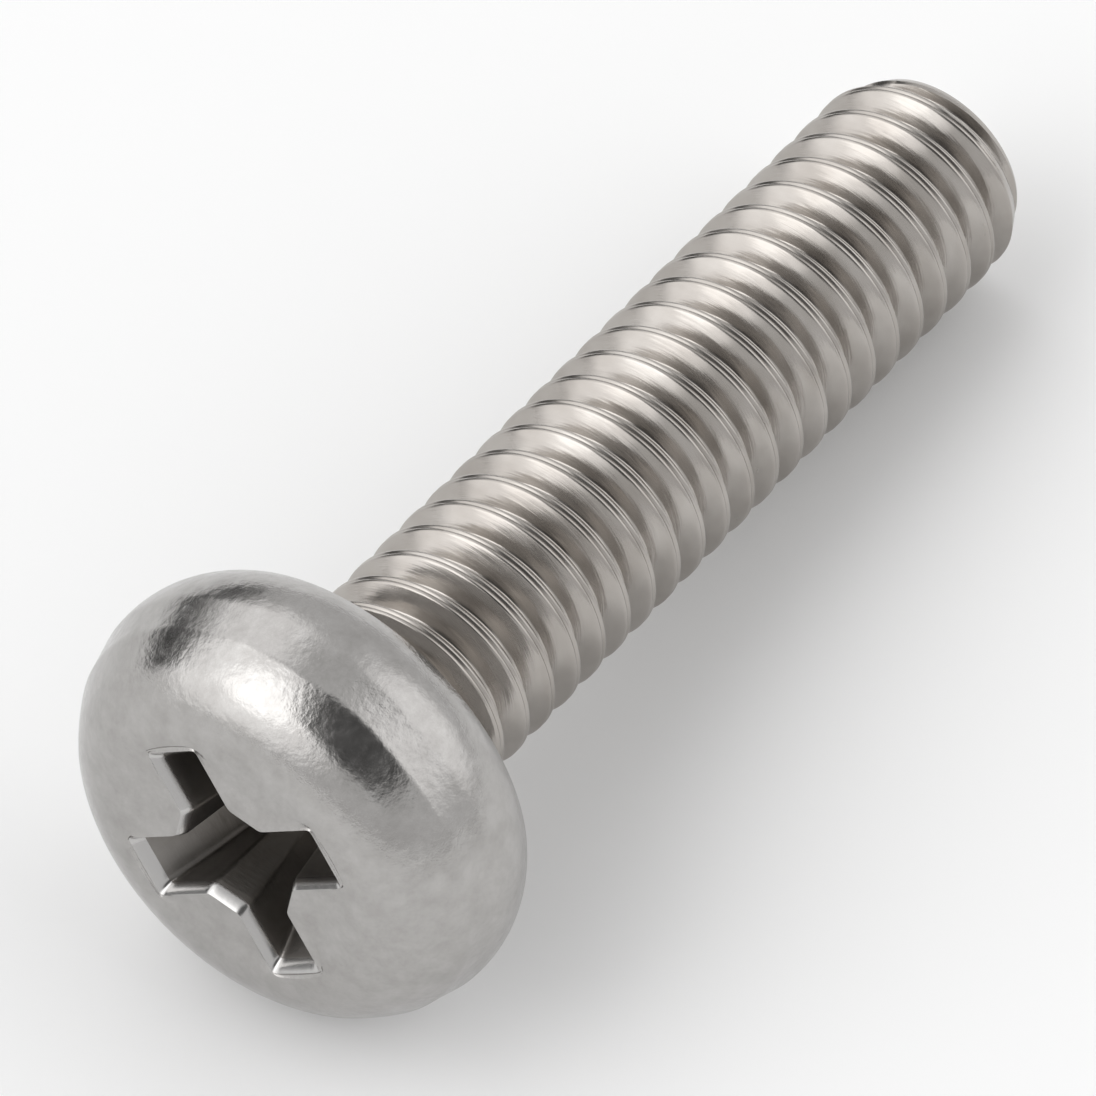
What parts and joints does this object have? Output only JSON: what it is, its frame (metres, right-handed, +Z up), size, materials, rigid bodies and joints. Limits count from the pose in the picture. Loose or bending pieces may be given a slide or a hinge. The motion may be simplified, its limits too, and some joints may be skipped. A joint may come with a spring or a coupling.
{
  "type": "pan head machine screw",
  "caption": "Stainless pan-head machine screw with a cross recess and a coarse right-hand thread up to the head, lying at rest.",
  "frame": {"origin": "on the floor under the middle of the screw's overall length, as it lies at rest", "axes": "+X from the head to the tip along the floor, +Z up; the screw's own axis lies in the XZ plane and slopes down to the tip"},
  "size_m": [0.02, 0.0078, 0.0079],
  "materials": {
    "stainless": "tumbled satin stainless steel, bright on the crown and warmer grey in the thread"
  },
  "bodies": {
    "root": {"screw": "stainless"}
  },
  "joints": []
}
